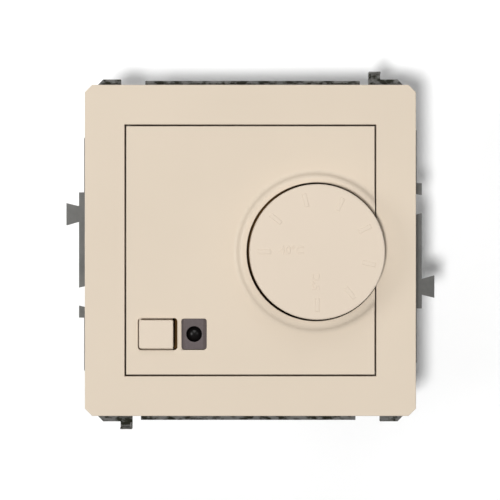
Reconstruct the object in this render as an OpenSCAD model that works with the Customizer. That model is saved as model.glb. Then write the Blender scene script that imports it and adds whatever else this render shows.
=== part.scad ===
// Flush-mounted room thermostat: a dial, a power button and an indicator in a square face plate,
// carried by a steel strap that screws to a round wall box.
//
// X runs to the right and Z up, as a person in front of the wall sees it. The wall is the plane
// y = 0 and the front faces -Y. Depths are given as "forward": the distance in front of the wall,
// so y = -forward, and what lies inside the wall box has a negative forward.

/* [Face plate] */
// Outer width and height of the square front frame
frame_size = 67.1; // [66.5:0.1:67.5]
// Corner chamfer of the front frame
frame_corner = 1.5; // [0.5:0.1:3]
// Width and height of the square opening in the front frame
opening_size = 51; // [50.9:0.1:51.4]
// Width and height of the square centre cover
cover_size = 50.3; // [50:0.1:50.4]
// How far the frame and the cover stand in front of the wall
face_forward = 10; // [9.8:0.1:10.4]
// Thickness of the frame's and the cover's front wall
face_t = 2; // [1.6:0.1:2]

/* [Dial] */
// Distance of the dial's axis to the right of the centre
dial_x = 13.35; // [13.2:0.05:13.5]
// Height of the dial's axis above the centre
dial_z = -0.3; // [-0.5:0.1:0.5]
// Diameter of the dial
dial_d = 27.25; // [26.5:0.05:27.5]
// Distance of the dial's face in front of the cover
dial_proud = 6.5; // [6:0.1:7.5]
// Diameter of the hole in the collar around the dial
collar_d = 28.25; // [28.2:0.05:28.6]
// Height of the collar above the cover
collar_h = 1.1; // [0.8:0.1:1.4]
// Number of temperature marks on the dial
mark_count = 8; // [4:1:12]
// Angle over which the dial turns
dial_turn = 270; // [240:5:270]

/* [Power button and indicator] */
// Width of the button's cap
button_w = 6.9; // [6.6:0.1:7.3]
// Height of the button's cap
button_h = 5.75; // [5.4:0.05:5.9]
// Distance of the button's cap in front of the cover
button_proud = 1.2; // [0.8:0.1:1.6]
// Width of the indicator's bezel
bezel_w = 4.98; // [4.6:0.02:5]
// Height of the indicator's bezel
bezel_h = 6.14; // [5.8:0.02:6.2]

/* [Mounting strap] */
// Thickness of the strap's sheet steel
strap_t = 1.2; // [1:0.1:1.2]
// Distance between opposite box screws
box_pitch = 60; // [60:1:60]
// Width of a box screw's slot
slot_w = 3.7; // [3.5:0.1:4]
// Length of a box screw's slot
slot_l = 5.2; // [4.5:0.1:5.2]

/* [Housing in the wall box] */
// Half of the housing's width
cup_x = 21.5; // [21.5:0.1:21.7]
// Half of the housing's height
cup_z = 24; // [24:0.1:24.2]
// Depth of the housing behind the wall plane
cup_depth = 28; // [28:0.5:30]
// Thickness of the housing's walls
cup_wall = 1.6; // [1.4:0.1:1.6]

/* [Terminals] */
// Number of screw terminals
way_count = 5; // [5:1:5]
// Distance between neighbouring terminals
way_pitch = 6.5; // [6.3:0.1:6.5]

/* [Hidden] */
$fn = 64;
eps = 0.01;

// Forward levels of the stack, from the wall to the front
strap_front = strap_t;
flange_front = strap_front + 1.6;
board_front = flange_front + 1.6;
guard_back = 6.4;
guard_front = 7.6;
face_back = face_forward - face_t;
dial_front = face_forward + dial_proud;
dial_back = face_forward + 0.5;
button_front = face_forward + button_proud;

// Frame and cover
frame_skirt = 1.8;
cover_skirt = 1.2;
frame_back = strap_front + 0.2;
clip_x = 28;
clip_z = 29.5;
screw_notch_w = 9;
screw_notch_front = 4.8;
collar_r = collar_d / 2;
collar_foot = 2.85;
collar_slope_w = 2.2;

// Dial and potentiometer
dial_r = dial_d / 2;
dial_wall = 1.5;
dial_top = 1.6;
hub_r = 4.6;
hub_back = 8.2;
shaft_r = 3;
shaft_front = dial_front - dial_top - 0.3;
shaft_flat = 1.6;
running = 0.05;
mark_in = 9.2;
mark_len = 2.7;
mark_w = 0.9;
mark_h = 0.12;
pot_w = 10.5;
pot_h = 11;
pot_depth = 5.6;
pot_cavity_r = 4.6;
pot_lip = 1.2;
stop_half = 8;
lug_mid = 180 - (360 - dial_turn) / 2;
lug_half = (360 - dial_turn) / 2 - stop_half - 1;
shaft_root = 1.2;
shaft_tail = -1.3;

// Button and switch
button_x = -19.05;
button_z = -16.95;
button_hole = [8, 6.5];
button_hole_x = -18.79;
button_corner = 0.4;
flange_size = [9, 7.3];
plunger_w = 2.2;
plunger_x = -16.2;
plunger_z = -16.6;
plunger_front = 5.6;
plunger_back = -1.5;
plunger_collar = 3;
switch_size = [5, 5.6, 8];
switch_wall = 0.8;
spring_r = 0.8;
spring_wire = 0.14;
spring_turns = 5;

// Indicator
lamp_x = -11.4;
lamp_z = -16.95;
lamp_r = 1.5;
bezel_hole = [5.08, 6.24];
bezel_corner = 0.5;
bezel_lip = 0.5;

// Strap outline: side strips, dovetail lugs and slots, corner pieces and hook tabs
edge_x = 34.35;
strip_x = 35.4;
corner_x = 33.4;
lug_x = 38;
bar_z = 35;
corner_z = 35.3;
tab_z = 36.8;
notch_z = 32.8;

// Housing, boards and fasteners
cup_cut = [5.2, 4.5];
cup_post = [17.7, 18.6];
inner_x = cup_x - cup_wall;
inner_z = cup_z - cup_wall;
inner_cut = [4.2, 3.63];
flange_x = 29.6;
flange_z = 26.5;
housing_screw = [27.6, 19];
guard_screw = [18.6, 18.6];
board_half = 22.2;
guard_half = 23.7;
guard_wall = 1.3;
power_front = -8;
power_back = power_front - 1.6;
header = [-1, 12];
header_ways = 6;
header_pitch = 2.54;
pin_w = 0.64;

// Terminals: the screw runs along Z at this depth, with its head at the bottom. Tightening it
// pulls the cage down from its open place, so that a wire is held between cage and contact.
screw_y = 16;
screw_r = 1.45;
head_r = 1.9;
head_z = [-23.4, -21.85];
shank_top = -16.6;
clamp_w = 5;
clamp_side = 0.6;
clamp_y = 4;
clamp_travel = 1.75;
clamp_open = [-18.9, -11.1];
clamp_z = [for (z = clamp_open) z - clamp_travel];
clamp_plate = 1.2;
contact_z = [-16.3, -15.5];
contact_w = 3.2;
wire_gap = [contact_z[1], clamp_open[1] - clamp_plate];
wire_hole = 3.8;
block_y = [9.6, 26.2];
block_z = [-22.3, -9.6];
block_x = 18.2;

// ---- Shared shapes ----

// Extrudes a front view, drawn as [x, z], between two forward levels.
module slab(back, front) {
    translate([0, -back, 0]) rotate([90, 0, 0]) linear_extrude(height = front - back) children();
}

// Turns a profile, drawn as [radius, forward], about an axis along Y.
module turned(x, z) {
    translate([x, 0, z]) rotate([90, 0, 0]) rotate_extrude($fn = 96) children();
}

// A round bar or hole along Y.
module rod(x, z, r, back, front) {
    translate([x, -back, z]) rotate([90, 0, 0]) cylinder(r = r, h = front - back);
}

// A rectangle with round corners, centred on the origin.
module soft_rect(size, r) {
    square([size[0] - 2 * r, size[1]], center = true);
    square([size[0], size[1] - 2 * r], center = true);
    for (sx = [-1, 1], sz = [-1, 1])
        translate([sx * (size[0] / 2 - r), sz * (size[1] / 2 - r)]) circle(r = r, $fn = 32);
}

// A rectangle with its corners cut off.
module cut_rect(half_x, half_z, cut) {
    polygon([
        [half_x, half_z - cut[1]], [half_x - cut[0], half_z],
        [cut[0] - half_x, half_z], [-half_x, half_z - cut[1]],
        [-half_x, cut[1] - half_z], [cut[0] - half_x, -half_z],
        [half_x - cut[0], -half_z], [half_x, cut[1] - half_z]
    ]);
}

// A slot with round ends, centred on the origin and running along X.
module round_slot(length, width) {
    square([length - width, width], center = true);
    for (side = [-1, 1]) translate([side * (length - width) / 2, 0]) circle(d = width);
}

// A box between two corners.
module block(low, high) {
    translate(low) cube(high - low);
}

// Points of an arc, from one angle to another.
function arc(cx, cy, r, from, to, steps) =
    [for (i = [0:steps]) let (a = from + (to - from) * i / steps) [cx + r * cos(a), cy + r * sin(a)]];

function way_x(i) = (i - (way_count + 1) / 2) * way_pitch;

// ---- Face plate ----

module cover_frame() color("#e6d7c4") {
    half = frame_size / 2;
    difference() {
        slab(frame_back, face_forward) cut_rect(half, half, [frame_corner, frame_corner]);
        slab(frame_back - 1, face_back)
            cut_rect(half - frame_skirt, half - frame_skirt, [frame_corner, frame_corner]);
        slab(face_back - 1, face_forward + 1) square(opening_size, center = true);
        // Room for the box screws' heads
        slab(frame_back - 1, screw_notch_front) {
            square([frame_size + 2, screw_notch_w], center = true);
            square([screw_notch_w, frame_size + 2], center = true);
        }
    }
    // Inner skirt around the opening
    slab(face_back - 2, face_back) difference() {
        square(opening_size + 2.4, center = true);
        square(opening_size, center = true);
    }
    // Legs that snap into the strap
    for (sx = [-1, 1], sz = [-1, 1])
        slab(0.3, face_back) translate([sx * clip_x, sz * clip_z]) square([2.8, 1.8], center = true);
}

// Profile of the collar: its slope runs out of the face and over into the rim in two equal arcs.
module collar_profile() {
    steepest = 2 * atan(collar_h / collar_slope_w);
    bend_r = collar_slope_w / (2 * sin(steepest));
    foot_r = collar_r + collar_foot;
    polygon(concat(
        [[collar_r - 0.2, face_back], [foot_r, face_back]],
        arc(foot_r, face_forward + bend_r, bend_r, 270, 270 - steepest, 6),
        arc(foot_r - collar_slope_w, face_forward + collar_h - bend_r, bend_r, 90 - steepest, 90, 6),
        [[collar_r - 0.2, face_forward + collar_h]]
    ));
}

module centre_cover() color("#e6d7c4") {
    half = cover_size / 2;
    difference() {
        union() {
            slab(face_back, face_forward) square(cover_size, center = true);
            intersection() {
                turned(dial_x, dial_z) collar_profile();
                block([-half, -20, -half], [half, 0, half]);
            }
        }
        // Well for the dial, which breaks out through the cover's right edge
        rod(dial_x, dial_z, collar_r, face_back - 1, face_forward + collar_h + 1);
        slab(face_back - 1, face_forward + 1) {
            translate([button_hole_x, button_z]) soft_rect(button_hole, 0.7);
            translate([lamp_x, lamp_z]) soft_rect(bezel_hole, bezel_corner);
        }
        // Pointer line cut into the face
        block([-13.4, -face_forward - 1, dial_z - 0.12], [-6.9, -face_forward + 0.12, dial_z + 0.12]);
    }
    // Skirt that grips the guard
    slab(3.4, face_back) difference() {
        square(cover_size, center = true);
        square(cover_size - 2 * cover_skirt, center = true);
    }
}

module indicator_bezel() color("#6a6262") difference() {
    translate([lamp_x, 0, lamp_z]) {
        slab(face_back - 0.35, face_forward - 0.1) soft_rect([bezel_w, bezel_h], bezel_corner);
        // Lips above and below that hold the bezel behind the cover
        slab(face_back - 0.35, face_back) square([bezel_w, bezel_h + 2 * bezel_lip], center = true);
    }
    rod(lamp_x, lamp_z, lamp_r + 0.1, face_back - 1, face_forward + 1);
}

module indicator_led() color("#1a1716") turned(lamp_x, lamp_z) polygon(concat(
    [[0, board_front], [1.75, board_front], [1.75, board_front + 0.8], [lamp_r, board_front + 0.8]],
    arc(0, face_forward - 0.5 - lamp_r, lamp_r, 0, 90, 8)
));

module led_leads() color("silver")
    for (side = [-1, 1]) rod(lamp_x + side * 1.27, lamp_z, 0.25, flange_front - 0.6, board_front);

// ---- Dial ----

// The front view of a shaft with one flat, or of the hole that it fits.
module d_shape(r, flat) {
    intersection() {
        circle(r = r);
        translate([-r, -r]) square([2 * r, r + flat]);
    }
}

module dial_knob() color("#e6d7c4") {
    edge = 0.5;
    difference() {
        union() {
            turned(dial_x, dial_z) polygon(concat(
                [[0, dial_front - dial_top], [dial_r - dial_wall, dial_front - dial_top]],
                [[dial_r - dial_wall, dial_back], [dial_r, dial_back]],
                arc(dial_r - edge, dial_front - edge, edge, 0, 90, 6),
                [[0, dial_front]]
            ));
            rod(dial_x, dial_z, hub_r, hub_back, dial_front - 0.5);
            // Ribs from the hub to the rim
            for (turn = [0:3]) translate([dial_x, 0, dial_z]) rotate([0, 45 + 90 * turn, 0])
                block([hub_r - 0.3, -dial_front + 0.5, -0.5], [dial_r - 0.5, -dial_back - 1, 0.5]);
        }
        slab(hub_back - 1, dial_front - dial_top)
            translate([dial_x, dial_z]) d_shape(shaft_r + running, shaft_flat + running);
    }
    // Raised temperature marks
    for (i = [0:mark_count - 1]) translate([dial_x, 0, dial_z])
        rotate([0, 180 + dial_turn * i / (mark_count - 1), 0])
            block(
                [mark_in, -dial_front - mark_h, -mark_w / 2],
                [mark_in + mark_len, -dial_front + 0.3, mark_w / 2]
            );
}

module potentiometer_shaft() color("#d8d4c8") {
    rod(dial_x, dial_z, shaft_r, shaft_root, hub_back);
    slab(hub_back - eps, shaft_front) translate([dial_x, dial_z]) d_shape(shaft_r, shaft_flat);
    // Stop disc with its tooth
    rod(dial_x, dial_z, 3.6, 0.4, flange_front - pot_lip - 0.2);
    slab(0.4, flange_front - pot_lip - 0.2) translate([dial_x, dial_z])
        polygon(concat([[0, 0]], arc(0, 0, 4.4, 180 - stop_half, 180 + stop_half, 4)));
    rod(dial_x, dial_z, 2, shaft_tail, shaft_root + 0.1);
}

module potentiometer_wiper() color("#c9a24b")
    slab(shaft_tail, shaft_tail + 0.5) translate([dial_x, dial_z]) difference() {
        union() {
            circle(r = 2.8);
            rotate(180) translate([0, -0.8]) square([4.3, 1.6]);
        }
        circle(r = 2);
    }

module potentiometer_body() color("#3d6a8c") {
    difference() {
        union() {
            slab(flange_front - pot_depth, flange_front) translate([dial_x, dial_z])
                square([pot_w, pot_h], center = true);
            rod(dial_x, dial_z, 3.5 + 0.3, flange_front - eps, guard_front - 0.2);
        }
        rod(dial_x, dial_z, shaft_r + running, -1, guard_front + 1);
        rod(dial_x, dial_z, pot_cavity_r, flange_front - pot_depth - 1, flange_front - pot_lip);
    }
    // Stop lug inside the case
    slab(0.4, flange_front - pot_lip + eps) translate([dial_x, dial_z]) difference() {
        polygon(concat([[0, 0]], arc(0, 0, pot_cavity_r + 0.2, lug_mid - lug_half, lug_mid + lug_half, 8)));
        circle(r = 3.7);
    }
}

module potentiometer_track() color("#2b2622")
    rod(dial_x, dial_z, pot_cavity_r - running, flange_front - pot_depth, flange_front - pot_depth + 1.2);

// ---- Power button and its switch ----

module power_button() color("#e6d7c4") {
    slab(7.5, button_front) translate([button_x, button_z]) soft_rect([button_w, button_h], button_corner);
    slab(7.1, face_back - 0.1) translate([button_hole_x, button_z]) square(flange_size, center = true);
    slab(plunger_front, 7.3) translate([plunger_x, plunger_z]) square(plunger_w, center = true);
}

module switch_plunger() color("ivory") translate([plunger_x, 0, plunger_z]) {
    slab(plunger_back, plunger_front) square(plunger_w, center = true);
    // Collar that the case holds back
    slab(0.6, 1.6) square(plunger_collar, center = true);
}

module switch_body() color("#26282b") translate([plunger_x, 0, plunger_z]) difference() {
    slab(flange_front - switch_size[2], flange_front) square([switch_size[0], switch_size[1]], center = true);
    slab(flange_front - switch_size[2] + switch_wall, flange_front - switch_wall - 0.2)
        square(plunger_collar + 0.4, center = true);
    slab(0, flange_front + 1) square(plunger_w + 0.2, center = true);
}

// Ring of points around the spring's centreline at turn t.
function spring_ring(t, sides) = let (
    back = flange_front - switch_size[2] + switch_wall + spring_wire,
    front = plunger_back - spring_wire,
    angle = 360 * t,
    f = back + (front - back) * t / spring_turns
) [for (k = [0:sides - 1]) let (a = 360 * k / sides, r = spring_r + spring_wire * cos(a))
    [plunger_x + r * cos(angle), -f - spring_wire * sin(a), plunger_z + r * sin(angle)]];

module switch_spring() color("silver") {
    sides = 6;
    rings = spring_turns * 10;
    points = [for (i = [0:rings]) each spring_ring(i * spring_turns / rings, sides)];
    walls = [for (i = [0:rings - 1], k = [0:sides - 1])
        [i * sides + k, i * sides + (k + 1) % sides, (i + 1) * sides + (k + 1) % sides, (i + 1) * sides + k]];
    polyhedron(points = points, convexity = 10, faces = concat(
        walls,
        [[for (k = [0:sides - 1]) sides - 1 - k]],
        [[for (k = [0:sides - 1]) rings * sides + k]]
    ));
}

// ---- Guard and boards ----

module front_guard() color("#26282b") difference() {
    slab(flange_front, guard_front) square(2 * guard_half, center = true);
    slab(flange_front - 1, guard_back) difference() {
        square(2 * (guard_half - guard_wall), center = true);
        for (side = [-1, 1]) translate(side * [-guard_screw[0], guard_screw[1]]) circle(r = 2.4);
    }
    slab(flange_front - 1, board_front) square(2 * (guard_half - guard_wall), center = true);
    rod(dial_x, dial_z, 4.2, guard_back - 1, guard_front + 1);
    rod(lamp_x, lamp_z, 2, guard_back - 1, guard_front + 1);
    // Room for the button's flange
    block([-guard_half - 1, -guard_front - 1, -21.2], [-13.8, -5, -12.8]);
    for (side = [-1, 1]) {
        rod(-side * guard_screw[0], side * guard_screw[1], 1.15, 0, guard_front + 1);
        rod(-side * guard_screw[0], side * guard_screw[1], 2.1, 6.5, guard_front + 1);
    }
    // Slits that let air reach the board
    for (i = [0:4]) block([-16, -guard_front - 1, 3 + 2.6 * i], [-4, -guard_back + 1, 4.2 + 2.6 * i]);
}

module guard_screws() color("silver") for (side = [-1, 1]) difference() {
    union() {
        rod(-side * guard_screw[0], side * guard_screw[1], 1.05, -4, 6.6);
        rod(-side * guard_screw[0], side * guard_screw[1], 2, 6.52, 7.5);
    }
    translate([-side * guard_screw[0], -7.5, side * guard_screw[1]]) rotate([0, 30, 0])
        block([-1.6, -0.5, -0.25], [1.6, 0.5, 0.25]);
}

module control_board() color("#1f6b46") slab(flange_front, board_front) difference() {
    square(2 * board_half, center = true);
    translate([dial_x, dial_z]) circle(r = 4);
    translate([plunger_x, plunger_z]) square(2.8, center = true);
    for (side = [-1, 1]) translate(side * [-guard_screw[0], guard_screw[1]]) circle(r = 1.3);
    for (side = [-1, 1]) translate([lamp_x + side * 1.27, lamp_z]) circle(r = 0.3);
}

module microcontroller() color("#202224") {
    slab(board_front + 0.1, board_front + 1.5) translate([0, 10]) square([5.2, 4], center = true);
    for (i = [0:3], side = [-1, 1])
        slab(board_front, board_front + 0.4)
            translate([-1.9 + 1.27 * i, 10 + side * 2.6]) square([0.4, 1.4], center = true);
}

// The header's pins as seen from the front.
module pin_pattern(w) {
    for (i = [0:header_ways - 1])
        translate([header[0] + (i - (header_ways - 1) / 2) * header_pitch, header[1]]) square(w, center = true);
}

module header_socket() color("#1d1e20") slab(-5.6, flange_front) difference() {
    translate(header) square([header_ways * header_pitch, 2.5], center = true);
    pin_pattern(pin_w + 0.16);
}

module header_base() color("#1d1e20") slab(power_front, -5.6) difference() {
    translate(header) square([header_ways * header_pitch, 2.5], center = true);
    pin_pattern(pin_w);
}

module header_pins() color("gold") slab(power_front, 0.5) pin_pattern(pin_w);

module power_board() color("#1f6b46") slab(power_back, power_front) difference() {
    cut_rect(inner_x - 0.4, inner_z - 0.4, inner_cut);
    for (i = [1:way_count]) translate([way_x(i), (contact_z[0] + contact_z[1]) / 2])
        square([contact_w, contact_z[1] - contact_z[0]], center = true);
}

module relay() color("#2f5fa8") {
    slab(power_back - 15.6, power_back - 0.2) translate([0, 12.9]) soft_rect([29, 12.7], 0.6);
    slab(power_back - 0.3, power_back)
        for (side = [-1, 1]) translate([side * 13, 12.9]) square([1.5, 11], center = true);
}

module film_capacitor() color("#c8b13a")
    slab(power_back - 13, power_back) translate([-9.8, -4.8]) soft_rect([17, 7.7], 0.8);

module smoothing_capacitor() color("#23262e") difference() {
    length = 11.5;
    rod(5, -4.6, 4, power_back - length, power_back);
    // Pressure-relief cross
    for (turn = [0, 90]) translate([5, length - power_back, -4.6]) rotate([0, turn, 0])
        block([-2.5, -0.2, -0.15], [2.5, 1, 0.15]);
}

module varistor() color("#2e6fb0") {
    translate([12.6, 15.2, -3.8]) rotate([0, 90, 0]) cylinder(r = 4.6, h = 3.8);
    for (side = [-1, 1]) translate([14.5, 0, -3.8 + side * 2.5]) rod(0, 0, 0.3, -12, power_back);
}

// An axial part: a round body with a lead bent down to the board at each end.
module axial(x, z, r, length) {
    y = -power_back + r + 0.3;
    translate([x - length / 2, y, z]) rotate([0, 90, 0]) cylinder(r = r, h = length);
    for (side = [-1, 1]) {
        translate([x + side * (length / 2 + 0.5) - 0.75, y, z]) rotate([0, 90, 0]) cylinder(r = 0.25, h = 1.5);
        rod(x + side * (length / 2 + 1), z, 0.25, -y, power_back);
    }
}

module fuse() color("#d9d3bd") axial(-10, 3.2, 1.5, 8);

module resistors() color("#c9b48a") for (x = [3.2, 13.4]) axial(x, 3.2, 1.15, 5.6);

// ---- Housing in the wall box ----

module rear_housing() color("#e9e8e3") difference() {
    union() {
        slab(-cup_depth, flange_front) cut_rect(cup_x, cup_z, cup_cut);
        // Flange that lies on the strap, cut away beside the box screws
        slab(strap_front, flange_front) difference() {
            cut_rect(flange_x, flange_z, [4, 4]);
            for (side = [-1, 1]) translate([side * (26 + 5), 0]) square([10, 12], center = true);
        }
    }
    difference() {
        slab(cup_wall - cup_depth, flange_front + 1) cut_rect(inner_x, inner_z, inner_cut);
        for (side = [-1, 1]) {
            rod(-side * guard_screw[0], side * guard_screw[1], 2.4, -6, flange_front + 2);
            // Posts that the upper edge of the power board rests on
            rod(side * cup_post[0], cup_post[1], 2.4, -cup_depth, power_back);
        }
    }
    for (side = [-1, 1]) rod(-side * guard_screw[0], side * guard_screw[1], 1.05, -5, flange_front + 1);
    for (sx = [-1, 1], sz = [-1, 1])
        rod(sx * housing_screw[0], sz * housing_screw[1], 1.35, 0, flange_front + 1);
    for (i = [1:way_count]) {
        // Screwdriver well below each terminal screw, and its wire entry in the back
        translate([way_x(i), screw_y, -cup_z - 1]) cylinder(r = 2.3, h = cup_wall + 2);
        slab(-cup_depth - 1, cup_wall - cup_depth + 1)
            translate([way_x(i), (wire_gap[0] + wire_gap[1]) / 2]) square(wire_hole, center = true);
    }
    // Air slits in the top
    for (i = [-3:3]) block([4 * i - 0.6, 6, inner_z - 1], [4 * i + 0.6, 20, cup_z + 1]);
}

module housing_screws() color("silver") for (sx = [-1, 1], sz = [-1, 1]) difference() {
    union() {
        rod(sx * housing_screw[0], sz * housing_screw[1], 1.2, 0.1, flange_front + 0.2);
        rod(sx * housing_screw[0], sz * housing_screw[1], 2, flange_front, flange_front + 1.2);
    }
    translate([sx * housing_screw[0], -flange_front - 1.2, sz * housing_screw[1]]) for (turn = [0, 90])
        rotate([0, turn + 20 * sx, 0]) block([-1.2, -0.5, -0.2], [1.2, 0.6, 0.2]);
}

// Half of the strap's outline, from the lower left corner over the top to the upper right one.
// Turned half way round it gives the other half.
strap_half = [
    [-corner_x, -26], [-edge_x, -24.7], [-edge_x, -13.9], [-strip_x, -13.9],
    [-strip_x, -11.4], [-32.4, -12.1], [-32.4, -7], [-strip_x, -7.7],
    [-strip_x, 5.9], [-lug_x, 5.15], [-lug_x, 9.8], [-strip_x, 9.15],
    [-strip_x, 12], [-edge_x, 12], [-edge_x, 23.1], [-corner_x, 24.4],
    [-corner_x, 32.2], [-30.4, corner_z], [-26.7, corner_z], [-26.7, notch_z],
    [-21.7, notch_z], [-21.7, bar_z], [22.6, bar_z], [22.6, notch_z],
    [24.35, notch_z], [24.35, tab_z], [26.8, tab_z], [26.8, corner_z],
    [30.4, corner_z], [corner_x, 32.2]
];

module mounting_strap() color("#8a8a86") {
    slab(0, strap_t) difference() {
        polygon(concat(strap_half, [for (p = strap_half) -p]));
        cut_rect(cup_x + 0.5, cup_z + 0.5, cup_cut);
        for (side = [-1, 1]) {
            translate([side * box_pitch / 2, 0]) round_slot(slot_l, slot_w);
            translate([0, side * box_pitch / 2]) rotate(90) round_slot(slot_l, slot_w);
        }
        for (sx = [-1, 1], sz = [-1, 1]) {
            translate([sx * clip_x, sz * clip_z]) square([3.2, 2.2], center = true);
            translate([sx * housing_screw[0], sz * housing_screw[1]]) circle(r = 1.25);
        }
    }
    // Bent lips of the two hook tabs
    for (side = [-1, 1]) {
        slab(strap_t - eps, strap_t + 1.4) {
            translate(side * [24.35 + 0.2, 36.1]) square([0.4, 1.4], center = true);
            translate(side * [25.575, tab_z - 0.2]) square([2.45, 0.4], center = true);
        }
    }
}

// ---- Terminals ----

module terminal_block() color("#8f9499") difference() {
    translate([0, block_y[1], 0]) rotate([90, 0, 0]) linear_extrude(height = block_y[1] - block_y[0])
        polygon([
            [-block_x, block_z[1]], [-block_x, -19.9], [-15.6, block_z[0]],
            [15.6, block_z[0]], [block_x, -19.9], [block_x, block_z[1]]
        ]);
    for (i = [1:way_count]) translate([way_x(i), 0, 0]) {
        // Cage cell, screw seat, contact slit and wire funnel
        block([-2.7, screw_y - 2.5, -21], [2.7, screw_y + 2.5, -10.8]);
        translate([0, screw_y, -22]) cylinder(r = 1.6, h = 2);
        translate([0, screw_y, -23]) cylinder(r = 2.2, h = 1.2);
        block([-1.7, block_y[0] - 1, contact_z[0] - 0.1], [1.7, screw_y, contact_z[1] + 0.1]);
        translate([0, 0, (wire_gap[0] + wire_gap[1]) / 2])
            block([-1.8, screw_y, -1.6], [1.8, block_y[1] + 1, 1.6]);
    }
}

module terminal_contacts() color("#c9a24b") for (i = [1:way_count]) translate([way_x(i), 0, 0])
    block([-contact_w / 2, -power_front, contact_z[0]], [contact_w / 2, screw_y + 2.2, contact_z[1]]);

module terminal_screw(i) color("silver") translate([way_x(i), screw_y, 0]) difference() {
    union() {
        translate([0, 0, head_z[0]]) cylinder(r = head_r, h = head_z[1] - head_z[0]);
        translate([0, 0, head_z[1] - eps]) cylinder(r = screw_r, h = shank_top - head_z[1]);
    }
    for (turn = [0, 90]) rotate([0, 0, turn])
        block([-1.3, -0.25, head_z[0] - 1], [1.3, 0.25, head_z[0] + 0.9]);
}

module terminal_clamp(i) color("#d6b65c") translate([way_x(i), screw_y, 0]) difference() {
    block([-clamp_w / 2, -clamp_y / 2, clamp_z[0]], [clamp_w / 2, clamp_y / 2, clamp_z[1]]);
    block(
        [clamp_side - clamp_w / 2, -clamp_y, clamp_z[0] + clamp_plate],
        [clamp_w / 2 - clamp_side, clamp_y, clamp_z[1] - clamp_plate]
    );
    translate([0, 0, clamp_z[0] - 1]) cylinder(r = screw_r + running, h = 3);
}

// ---- Nodes ----

cover_frame();
centre_cover();
indicator_bezel();
indicator_led();
led_leads();
dial_knob();
potentiometer_shaft();
potentiometer_wiper();
potentiometer_body();
potentiometer_track();
power_button();
switch_plunger();
switch_spring();
switch_body();
front_guard();
guard_screws();
control_board();
microcontroller();
header_socket();
header_pins();
header_base();
power_board();
relay();
film_capacitor();
smoothing_capacitor();
varistor();
fuse();
resistors();
rear_housing();
housing_screws();
mounting_strap();
terminal_block();
terminal_contacts();
for (i = [1:way_count]) {
    terminal_screw(i);
    terminal_clamp(i);
}
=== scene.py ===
import math

import bmesh
import bpy
from mathutils import Matrix, Vector


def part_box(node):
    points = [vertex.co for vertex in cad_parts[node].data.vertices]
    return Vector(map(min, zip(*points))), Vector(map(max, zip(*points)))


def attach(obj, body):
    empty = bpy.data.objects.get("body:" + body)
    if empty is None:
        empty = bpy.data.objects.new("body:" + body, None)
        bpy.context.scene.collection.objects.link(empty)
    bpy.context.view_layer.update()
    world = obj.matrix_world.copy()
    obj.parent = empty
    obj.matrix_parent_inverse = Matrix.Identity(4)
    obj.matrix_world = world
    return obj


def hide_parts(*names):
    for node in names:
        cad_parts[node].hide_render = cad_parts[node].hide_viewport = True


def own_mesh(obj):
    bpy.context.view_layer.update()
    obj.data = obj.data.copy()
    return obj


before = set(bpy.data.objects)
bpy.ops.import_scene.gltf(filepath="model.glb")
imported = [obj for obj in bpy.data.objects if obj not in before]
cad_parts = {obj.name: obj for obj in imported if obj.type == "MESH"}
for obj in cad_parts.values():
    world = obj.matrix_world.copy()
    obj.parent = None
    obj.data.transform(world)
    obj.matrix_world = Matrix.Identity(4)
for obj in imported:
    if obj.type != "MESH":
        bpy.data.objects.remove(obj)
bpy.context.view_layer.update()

# ---- Mounting strap -------------------------------------------------------------------------
# Stamped from 1.2 mm sheet steel and zinc plated, with dovetail lugs and slots for ganging. It
# screws to the wall box and carries everything else. Sheared edges are left almost sharp.

MM = 0.001
weld = 0.0005 * MM
crease = math.radians(38)
nearly_flat = math.radians(0.5)
strap_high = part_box("mounting_strap")[1]
strap_edge = 0.1 * MM
# Bands near the strap's top and bottom edges get painted dark, blotchy reflections.
strap_reflection_from = strap_high.z - 4.5 * MM
strap_reflection_over = 1.0 * MM
reflection_dark = (0.035, 0.036, 0.026)


def new_material(name):
    """A material with its node tree and its surface shader."""
    material = bpy.data.materials.new(name)
    material.use_nodes = True
    tree = material.node_tree
    return material, tree, tree.nodes["Principled BSDF"]


def place_on(tree):
    """Positions on the object, in metres."""
    return tree.nodes.new("ShaderNodeTexCoord").outputs["Object"]


def noise(tree, grain, detail=3.0, stretch=(1, 1, 1)):
    """Noise with blobs about grain millimetres across, stretched along the given axes."""
    mapping = tree.nodes.new("ShaderNodeMapping")
    mapping.inputs["Scale"].default_value = [1 / s for s in stretch]
    texture = tree.nodes.new("ShaderNodeTexNoise")
    texture.inputs["Scale"].default_value = 1 / (grain * MM)
    texture.inputs["Detail"].default_value = detail
    tree.links.new(place_on(tree), mapping.inputs["Vector"])
    tree.links.new(mapping.outputs["Vector"], texture.inputs["Vector"])
    return texture.outputs["Fac"]


def spread(tree, value, low, high, start=0.3, end=0.7):
    """Maps a value between start and end to a number between low and high."""
    node = tree.nodes.new("ShaderNodeMapRange")
    node.inputs["From Min"].default_value = start
    node.inputs["From Max"].default_value = end
    node.inputs["To Min"].default_value = low
    node.inputs["To Max"].default_value = high
    tree.links.new(value, node.inputs["Value"])
    return node.outputs["Result"]


def blend_colours(tree, factor, first, second):
    """Mixes two colours, or a colour and a socket, by a factor."""
    node = tree.nodes.new("ShaderNodeMix")
    node.data_type = "RGBA"
    tree.links.new(factor, node.inputs["Factor"])
    for socket, colour in ((node.inputs[6], first), (node.inputs[7], second)):
        if isinstance(colour, bpy.types.NodeSocket):
            tree.links.new(colour, socket)
        else:
            socket.default_value = (*colour, 1)
    return node.outputs[2]


def relief(tree, shader, height, depth, strength=1.0):
    """Raises the surface by a height pattern, to a depth in millimetres."""
    bump = tree.nodes.new("ShaderNodeBump")
    bump.inputs["Distance"].default_value = depth * MM
    bump.inputs["Strength"].default_value = strength
    tree.links.new(height, bump.inputs["Height"])
    tree.links.new(bump.outputs["Normal"], shader.inputs["Normal"])


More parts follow.
